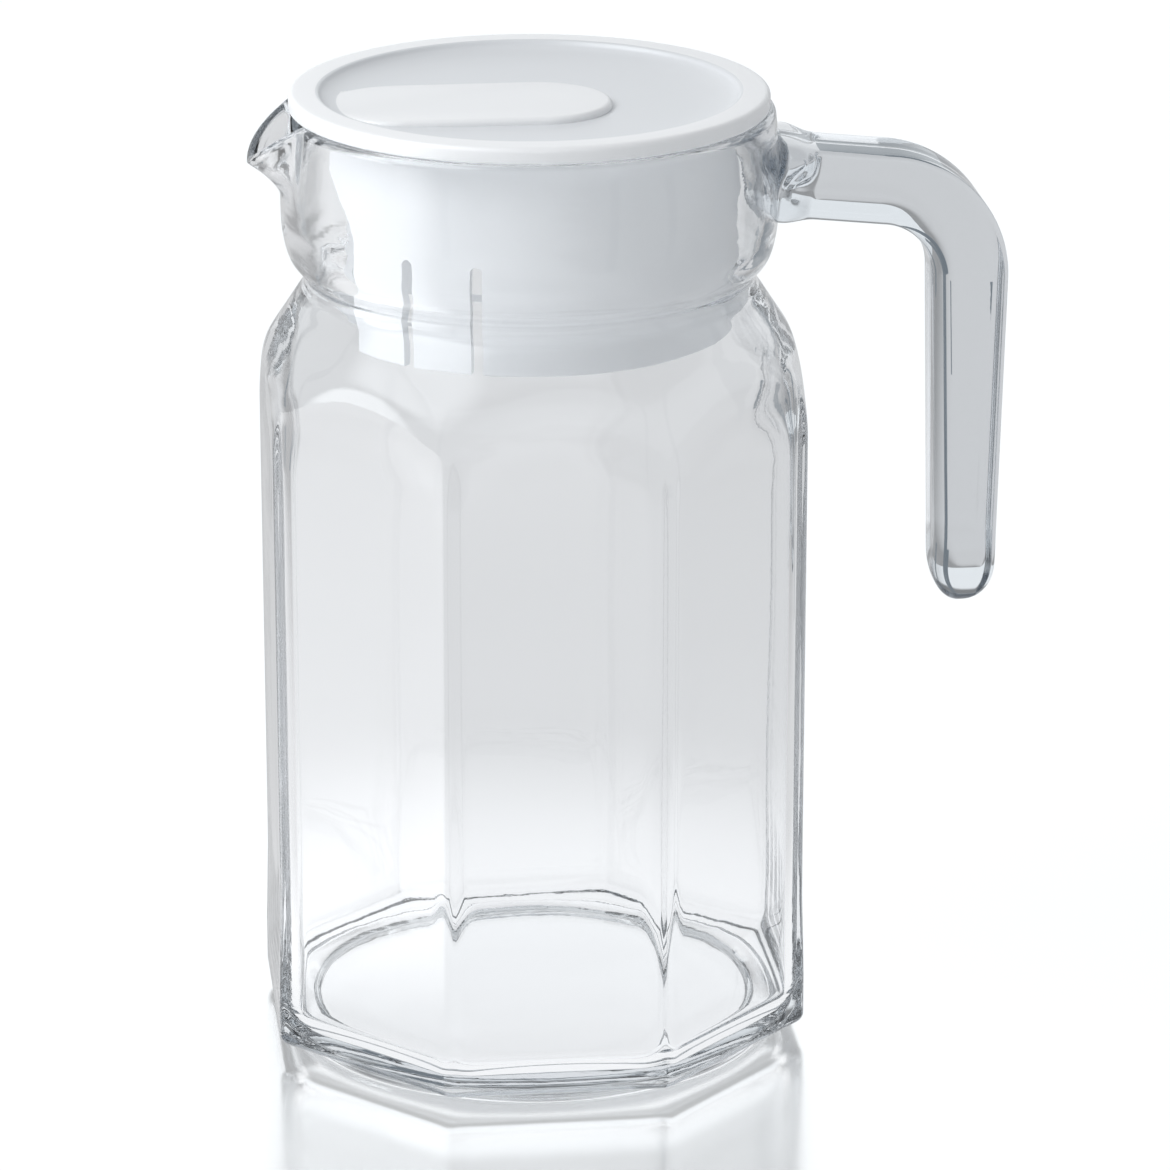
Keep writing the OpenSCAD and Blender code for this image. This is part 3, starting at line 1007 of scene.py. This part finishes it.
class Graph:
    """A node tree, with short calls that add its nodes and join them."""

    def __init__(self, tree: bpy.types.NodeTree) -> None:
        """Takes an empty tree."""
        self.tree = tree

    @classmethod
    def of(cls, owner: bpy.types.Material | bpy.types.World) -> Graph:
        """Empties the tree of a material or a world and takes it."""
        owner.use_nodes = True
        owner.node_tree.nodes.clear()
        return cls(owner.node_tree)

    def feed(self, socket: Socket, value: object) -> None:
        """Joins an output to an input, or gives the input a plain value."""
        if isinstance(value, Socket):
            self.tree.links.new(value, socket)
        else:
            socket.default_value = value

    def node(self, kind: str, *feeds: object, **named: object) -> bpy.types.Node:
        """Adds a node, with its settings and with what its inputs get.

        Args:
            kind: the node's type, without the first words that all types share.
            feeds: an output or a plain value for each of the first inputs, in order.
            named: the same for inputs by their names, and the values of settings.

        Returns:
            The node.
        """
        n = self.tree.nodes.new(f"ShaderNode{kind}")
        for key, value in named.items():
            name = key if key in n.inputs else key.replace("_", " ").title()
            if name in n.inputs:
                self.feed(n.inputs[name], value)
            else:
                setattr(n, key, value)
        for socket, value in zip(n.inputs, feeds):
            self.feed(socket, value)
        return n

    def math(self, kind: str, *values: object) -> Socket:
        """Adds a sum and gives its result."""
        return self.node("Math", *values, operation=kind).outputs[0]

    def toward(self, way: Socket, direction: Place) -> Socket:
        """Gives how far a vector reaches in a direction."""
        return self.node("VectorMath", way, direction, operation="DOT_PRODUCT").outputs["Value"]

    def ramp(self, value: Socket, *ends: object, kind: str = "SMOOTHSTEP") -> Socket:
        """Carries a value from one range over to another.

        Args:
            value: the value.
            ends: where it starts and ends, and the results there.
            kind: how the result runs between them.

        Returns:
            The result.
        """
        return self.node("MapRange", value, *ends, interpolation_type=kind).outputs["Result"]

    def choose(self, test: Socket, no: Socket, yes: Socket) -> Socket:
        """Gives one of two shaders."""
        return self.node("MixShader", test, no, yes).outputs[0]

    def shader(self, kind: str, colour: Place, strength: object = 1.0) -> Socket:
        """Adds a plain glow, or a plain part of the surround."""
        return self.node(kind, (*colour, 1), strength).outputs[0]

    def object_place(self) -> Socket:
        """Gives the place on the object, in metres."""
        return self.node("TexCoord").outputs["Object"]

    def uneven(self, **values: float) -> bpy.types.Node:
        """Adds the shared unevenness with a material's own values."""
        return self.node("Group", node_tree=uneven_surface(), **values)


@dataclass(frozen=True)
class Finish:
    """A finish, which each class below draws in its own way."""

    name: str

    def draw(self, g: Graph) -> dict[str, Socket]:
        """Draws the finish.

        Args:
            g: the material's tree.

        Returns:
            What the material's output gets, by the names of its inputs.
        """
        raise NotImplementedError

    def material(self) -> bpy.types.Material:
        """Makes the material."""
        made = bpy.data.materials.new(self.name)
        g = Graph.of(made)
        g.node("OutputMaterial", **self.draw(g))
        return made


@cache
def uneven_surface() -> bpy.types.NodeTree:
    """Gives the shader group that lays slow and fine unevenness over a surface.

    Returns:
        The group. Its inputs are Slow Scale, Fine Scale, Low, High and Upright Scale, which
        draws the unevenness out sideways where it is over 1. Its outputs are Height, for a
        bump, and Value, which runs from Low to High.
    """
    inputs = {"Slow Scale": 60.0, "Fine Scale": 900.0, "Low": 0.3, "High": 0.4, "Upright Scale": 1.0}
    fine_share, lowest, highest = 0.12, 0.35, 0.75
    tree = bpy.data.node_groups.new("uneven_surface", "ShaderNodeTree")
    for name, value in inputs.items():
        socket = tree.interface.new_socket(name, in_out="INPUT", socket_type="NodeSocketFloat")
        socket.default_value = value
    for name in ("Height", "Value"):
        tree.interface.new_socket(name, in_out="OUTPUT", socket_type="NodeSocketFloat")
    given, result = tree.nodes.new("NodeGroupInput").outputs, tree.nodes.new("NodeGroupOutput").inputs
    g = Graph(tree)
    tall = g.node("CombineXYZ", 1.0, 1.0, given["Upright Scale"])
    place = g.node("VectorMath", g.object_place(), tall.outputs[0], operation="MULTIPLY").outputs[0]
    slow = g.node("TexNoise", vector=place, scale=given["Slow Scale"], detail=1.0)
    fine = g.node("TexNoise", vector=place, scale=given["Fine Scale"], detail=3.0)
    height = g.math("MULTIPLY_ADD", fine.outputs["Fac"], fine_share, slow.outputs["Fac"])
    g.feed(result["Height"], height)
    g.feed(result["Value"], g.ramp(height, lowest, highest, given["Low"], given["High"], kind="LINEAR"))
    return tree


@dataclass(frozen=True)
class ClearGlass(Finish):
    """Fire-polished clear glass, a little wavy from the mould and blue-grey in its depth."""

    depth_colour: Place = (0.17, 0.25, 0.33)
    density: float = 3.5
    wave: float = 0.00022
    wave_scale: float = 34.0
    fine_times: float = 4.0
    upright: float = 4.0
    calm: float = 0.15
    calm_z: Point = (0.112, 0.136)
    base_wave: float = 0.2
    base_z: Point = (0.010, 0.018)

    TINT = (0.99, 0.995, 1.0, 1)
    SHADE = (0.98, 0.985, 0.99, 1)
    IOR = 1.5

    def draw(self, g: Graph) -> dict[str, Socket]:
        """Draws glass that lets shadow rays and diffuse rays through as clear air does."""
        slow, fine = self.wave_scale, self.wave_scale * self.fine_times
        uneven = g.uneven(slow_scale=slow, fine_scale=fine, upright_scale=self.upright)
        z = g.node("SeparateXYZ", g.object_place()).outputs["Z"]
        neck = g.ramp(z, *self.calm_z, self.calm, 1.0)
        base = g.ramp(z, *self.base_z, self.base_wave, 0.0)
        height = g.math("MULTIPLY", g.math("ADD", neck, base), uneven.outputs["Height"])
        bump = g.node("Bump", strength=1.0, distance=self.wave, height=height)
        glass = g.node(
            "BsdfPrincipled", base_color=self.TINT, roughness=0.0, IOR=self.IOR,
            transmission_weight=1.0, normal=bump.outputs["Normal"],
        )
        clear = g.node("BsdfTransparent", color=self.SHADE)
        path = g.node("LightPath").outputs
        passing = g.math("MAXIMUM", path["Is Shadow Ray"], path["Is Diffuse Ray"])
        surface = g.choose(passing, glass.outputs[0], clear.outputs[0])
        return {"surface": surface, "volume": g.shader("VolumeAbsorption", self.depth_colour, self.density)}


@dataclass(frozen=True)
class WhitePlastic(Finish):
    """Satin moulded plastic, cool white, with a very fine grain and painted shade in its dish."""

    name: str = "white_lid_plastic"
    colour: Place = (0.86, 0.87, 0.885)
    # Colour of the painted shade in the lid's dish.
    recess_shade_colour: Place = (0.70, 0.72, 0.745)
    slow_scale: float = 90.0
    fine_scale: float = 300.0
    smoothest: float = 0.30
    roughest: float = 0.31
    grain: float = 0.02
    grain_depth: float = 0.02 * MM

    IOR = 1.54

    def draw(self, g: Graph) -> dict[str, Socket]:
        """Draws plastic whose marked dish gets a darker colour as painted shade."""
        # Painted shade: the marked dish is mixed towards the darker colour.
        shaded, full = (*self.recess_shade_colour, 1), (*self.colour, 1)
        mark = g.node("Attribute", attribute_name=RECESS_SHADE).outputs["Fac"]
        tone = g.node("Mix", data_type="RGBA", factor=mark, A=full, B=shaded)
        slow, fine = self.slow_scale, self.fine_scale
        uneven = g.uneven(slow_scale=slow, fine_scale=fine, low=self.smoothest, high=self.roughest)
        rise = uneven.outputs["Height"]
        bump = g.node("Bump", strength=self.grain, distance=self.grain_depth, height=rise)
        skin = g.node(
            "BsdfPrincipled", base_color=tone.outputs["Result"], IOR=self.IOR,
            roughness=uneven.outputs["Value"], normal=bump.outputs["Normal"],
        )
        return {"surface": skin.outputs[0]}


@dataclass(frozen=True)
class StudioFloor(Finish):
    """A glossy white table top that mirrors the jug softly and keeps its shadow.

    Glass shows it as a pale glow of painted light that is brightest close to the foot.
    """

    name: str = "studio_floor"
    colour: Place = (0.95, 0.95, 0.95)
    painted_light_colour: Place = (0.975, 0.985, 1.0)
    mirror: float = 0.80
    rough: float = 0.17
    lift: float = 0.165
    left: Place = (-0.995, -0.1, 0.0)
    plain_gloss: float = 0.65

    # Where a change in the level of painted light starts and ends, and the levels there.
    LEFT_GLOSS = (0.78, 0.95, 0.0, 2.55)
    AWAY_GLOSS = (0.075, 0.12, 0.0, 1.0)
    FAR_SWEEP = (0.07, 0.17, 1.0, 0.73)
    SIDE_SWEEP = (0.15, 0.45, 1.0, 0.5)
    FRONT_SWEEP = (0.15, 0.4, 1.0, 1.8)

    def draw(self, g: Graph) -> dict[str, Socket]:
        """Draws a soft mirror that reflections and glass see as painted light of their own."""
        colour = (*self.colour, 1)
        top = g.node("BsdfPrincipled", base_color=colour, metallic=self.mirror, roughness=self.rough)
        glow = g.shader("Emission", WHITE, self.lift)
        place = g.object_place()
        far = g.node("VectorMath", place, operation="LENGTH").outputs["Value"]
        path = g.node("LightPath").outputs
        result = g.node("AddShader", top.outputs[0], glow).outputs[0]
        # Painted light: reflections and glass see the floor as a glow whose level is painted by place.
        for kind, level in (
            ("Is Glossy Ray", self._in_gloss(g, place, far)),
            ("Is Transmission Ray", self._through_glass(g, place, far)),
        ):
            result = g.choose(path[kind], result, g.shader("Emission", self.painted_light_colour, level))
        return {"surface": result}

    def _in_gloss(self, g: Graph, place: Socket, far: Socket) -> Socket:
        """Gives the floor's painted light in reflections, a glow higher on the left and away from the foot.

        Args:
            g: the material's tree.
            place: the place on the floor.
            far: how far that is from the jug's axis.

        Returns:
            The level.
        """
        way = g.node("VectorMath", place, operation="NORMALIZE").outputs[0]
        leftish = g.ramp(g.toward(way, self.left), *self.LEFT_GLOSS)
        return g.math("MULTIPLY_ADD", leftish, g.ramp(far, *self.AWAY_GLOSS), self.plain_gloss)

    def _through_glass(self, g: Graph, place: Socket, far: Socket) -> Socket:
        """Gives the floor's painted light behind glass, a glow high at the foot and in front, low aside.

        Args:
            g: the material's tree.
            place: the place on the floor.
            far: how far that is from the jug's axis.

        Returns:
            The level.
        """
        side = g.ramp(g.math("ABSOLUTE", g.toward(place, ACROSS)), *self.SIDE_SWEEP)
        front = g.ramp(g.toward(place, TO_CAMERA), *self.FRONT_SWEEP)
        return g.math("MULTIPLY", g.math("MULTIPLY", g.ramp(far, *self.FAR_SWEEP), side), front)


@dataclass(frozen=True)
class GreyCard(Finish):
    """A plain grey studio card that glass bends into its dark edge lines.

    With one_piece set it shows only to light that has passed one solid rod, so two faces.
    """

    name: str = "grey_card"
    colour: Place = (0.75, 0.88, 1.0)
    level: float = 0.24
    one_piece: bool = False

    FACES = 2.5

    def draw(self, g: Graph) -> dict[str, Socket]:
        """Draws a plain glow, which is clear to other light where one_piece is set."""
        result = g.shader("Emission", self.colour, self.level)
        if self.one_piece:
            few = g.math("LESS_THAN", g.node("LightPath").outputs["Transmission Depth"], self.FACES)
            result = g.choose(few, g.node("BsdfTransparent").outputs[0], result)
        return {"surface": result}


# Studio


@dataclass
class Studio:
    """The floor, the light, the cards and the camera at the photograph's angle."""

    camera_place: Place = (-0.10554, -1.02474, 0.43613)
    camera_down: float = 18.746
    camera_yaw: float = 6.454
    lens: float = 175.51
    sensor: float = 36.0
    clip: Point = (0.05, 30.0)
    fill: float = 0.50
    key_place: Place = (-0.40, -0.12, 0.57)
    key_aim: Place = (0, 0, 0.13)
    key_size: float = 0.36
    key_power: float = 2.35
    low_glow_toward: Place = (-1.0, -0.1, 0.1)
    floor_size: float = 24.0
    floor_drop: float = 0.1 * MM
    card_ring: float = 0.60
    card_wide: float = 0.05
    card_high: float = 0.8
    card_turns: tuple[float, ...] = (-26.0, -52.0, -80.0, -112.0, -140.0, 52.0, 80.0, 112.0, 140.0)
    bounces: int = 32
    clear_bounces: int = 16

    FILL_COLOUR = (0.97, 0.985, 1.0)
    SEEN_COLOUR = (0.94, 0.975, 1.0)

    # How far the look turns that way where a change of level starts and ends, and the levels.
    GLOSS_WALL = (0.42, 0.8, 1.0, 0.25)
    KEY_GLOW = (0.86, 0.96, 0.0, 3.4)
    LOW_GLOW = (0.965, 0.99, 0.0, 5.0)
    GLASS_WALL = (0.34, 0.46, 1.0, 0.24)
    GLASS_CEILING = (0.60, 0.80, 0.0, 0.42)
    GLASS_ASIDE = (0.25, 0.75, 1.0, 0.75)

    # Place, width and height of each card beside the handle.
    FLAGS = (
        ((0.0635, 0.016, 0.1425), 0.021, 0.017),
        ((0.1115, 0.058, 0.105), 0.0065, 0.11),
        ((0.0938, 0.04, 0.1245), 0.0009, 0.019),
    )

    def camera(self) -> None:
        """Sets the camera."""
        data = bpy.data.cameras.new("photo_camera")
        data.lens, data.sensor_width, data.sensor_fit = self.lens, self.sensor, "HORIZONTAL"
        data.clip_start, data.clip_end = self.clip
        cam = bpy.data.objects.new("photo_camera", data)
        cam.location = self.camera_place
        cam.rotation_euler = (math.radians(90 - self.camera_down), 0, -math.radians(self.camera_yaw))
        bpy.context.scene.collection.objects.link(cam)
        bpy.context.scene.camera = cam

    def world(self) -> None:
        """Sets a surround that is white to the eye and has a greyer ceiling for glass and gloss."""
        world = bpy.data.worlds.new("white_studio")
        bpy.context.scene.world = world
        g = Graph.of(world)
        path, way = g.node("LightPath").outputs, g.node("TexCoord").outputs["Generated"]
        up = g.node("SeparateXYZ", way).outputs["Z"]
        result = g.shader("Background", self.FILL_COLOUR, self.fill)
        for kind, level in (
            ("Is Glossy Ray", self._in_gloss(g, way, up)),
            ("Is Transmission Ray", self._through_glass(g, way, up)),
        ):
            result = g.choose(path[kind], result, g.shader("Background", self.SEEN_COLOUR, level))
        result = g.choose(path["Is Camera Ray"], result, g.shader("Background", WHITE))
        g.node("OutputWorld", surface=result)

    def _in_gloss(self, g: Graph, way: Socket, up: Socket) -> Socket:
        """Gives the surround's level in reflections, with a spot where the key lamp hangs.

        Args:
            g: the world's tree.
            way: the direction of the look.
            up: how steeply it rises.

        Returns:
            The level.
        """
        level = g.ramp(up, *self.GLOSS_WALL)
        key = Vector(self.key_place) - Vector(self.key_aim)
        for toward, glow in ((key, self.KEY_GLOW), (Vector(self.low_glow_toward), self.LOW_GLOW)):
            level = g.math("ADD", level, g.ramp(g.toward(way, toward.normalized()), *glow))
        return level

    def _through_glass(self, g: Graph, way: Socket, up: Socket) -> Socket:
        """Gives the surround's level behind glass, darker at the sides so that edges show.

        Args:
            g: the world's tree.
            way: the direction of the look.
            up: how steeply it rises.

        Returns:
            The level.
        """
        level = g.math("ADD", g.ramp(up, *self.GLASS_WALL), g.ramp(up, *self.GLASS_CEILING))
        aside = g.math("ABSOLUTE", g.toward(way, ACROSS))
        return g.math("MULTIPLY", level, g.ramp(aside, *self.GLASS_ASIDE))

    def softbox(self) -> None:
        """Hangs the one soft lamp, which looks at the jug."""
        data = bpy.data.lights.new("key_softbox", "AREA")
        data.shape, data.size, data.energy = "SQUARE", self.key_size, self.key_power
        lamp = bpy.data.objects.new("key_softbox", data)
        lamp.location = self.key_place
        lamp.visible_glossy = lamp.visible_transmission = False
        aim = Vector(self.key_aim) - Vector(self.key_place)
        lamp.rotation_euler = aim.to_track_quat("-Z", "Y").to_euler()
        bpy.context.scene.collection.objects.link(lamp)

    def floor(self) -> None:
        """Lays the table top."""
        plane = bpy.ops.mesh.primitive_plane_add
        floor = Bench.start("studio_floor", plane, (0, 0, -self.floor_drop), size=self.floor_size)
        floor.data.materials.append(StudioFloor().material())

    def cards(self) -> None:
        """Stands narrow grey cards in a ring and close to the handle, seen only through glass."""
        finish = GreyCard().material()
        for k, aside in enumerate(self.card_turns):
            turn = math.radians(90 - self.camera_yaw + aside)
            place = Vector((math.cos(turn), math.sin(turn), 0)) * self.card_ring
            place.z = self.card_high / 2
            self._card(f"grey_card_{k}", place, self.card_wide, self.card_high, turn + math.pi / 2, finish)
        near = GreyCard("handle_flag", one_piece=True).material()
        for k, (place, wide, high) in enumerate(self.FLAGS):
            self._card(f"handle_flag_{k}", place, wide, high, 0.0, near)

    @staticmethod
    def _card(
        name: str, place: Place, wide: float, high: float, turn: float, finish: bpy.types.Material
    ) -> None:
        """Stands one card, hidden from everything but light that has passed glass.

        Args:
            name: the card's name.
            place: its middle.
            wide: its width.
            high: its height.
            turn: how far it is turned round the upright.
            finish: its material.
        """
        card = Bench.start(name, bpy.ops.mesh.primitive_plane_add, place, size=1)
        card.scale = (wide, high, 1)
        card.rotation_euler = (math.pi / 2, 0, turn)
        card.data.materials.append(finish)
        card.visible_camera = card.visible_diffuse = card.visible_glossy = card.visible_shadow = False

    def build(self) -> None:
        """Sets up the whole studio."""
        self.camera()
        self.world()
        self.floor()
        self.cards()
        self.softbox()
        scene = bpy.context.scene
        scene.view_settings.view_transform = "Standard"
        scene.cycles.use_denoising = True
        scene.cycles.max_bounces = self.bounces
        scene.cycles.transmission_bounces = self.bounces
        scene.cycles.glossy_bounces = self.bounces
        scene.cycles.transparent_max_bounces = self.clear_bounces


# The jug


class GlassJug:
    """The whole jug: three pieces, each standing for one node of the frame."""

    def __init__(self) -> None:
        """Takes the sizes of the three sub-assemblies."""
        self.body = GlassBody()
        self.handle = GlassHandle(self.body)
        self.lid = Lid()

    def finish(
        self, obj: bpy.types.Object, material: bpy.types.Material, node: str, group: str, slot: str
    ) -> None:
        """Dresses one piece and ties it to the frame.

        Args:
            obj: the piece.
            material: its finish.
            node: the CAD node that it stands for.
            group: the CAD body that it moves with.
            slot: a material slot's name; not used.
        """
        obj.data.materials.clear()
        obj.data.materials.append(material)
        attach(obj, group)
        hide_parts(node)
        log.info("%s: %d faces, stands for %s", obj.name, len(obj.data.polygons), node)

    def build(self) -> None:
        """Makes and dresses every piece."""
        glass = ClearGlass("clear_body_glass").material()
        rod = ClearGlass(
            "clear_handle_glass", density=16.0, wave=0.00012, wave_scale=35.0, upright=1.0, calm=0.8
        ).material()
        plastic = WhitePlastic().material()
        self.finish(self.body.build(), glass, "glass_body", "jug", "clear_glass")
        self.finish(self.handle.build(), rod, "glass_handle", "jug", "clear_glass_handle")
        self.finish(self.lid.build(), plastic, "lid", "lid", "white_plastic")


def main() -> None:
    """Builds the studio and the jug around the frame."""
    logging.basicConfig(level=logging.INFO, format="%(name)s: %(message)s")
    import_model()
    Studio().build()
    GlassJug().build()


if __name__ == "__main__":
    main()
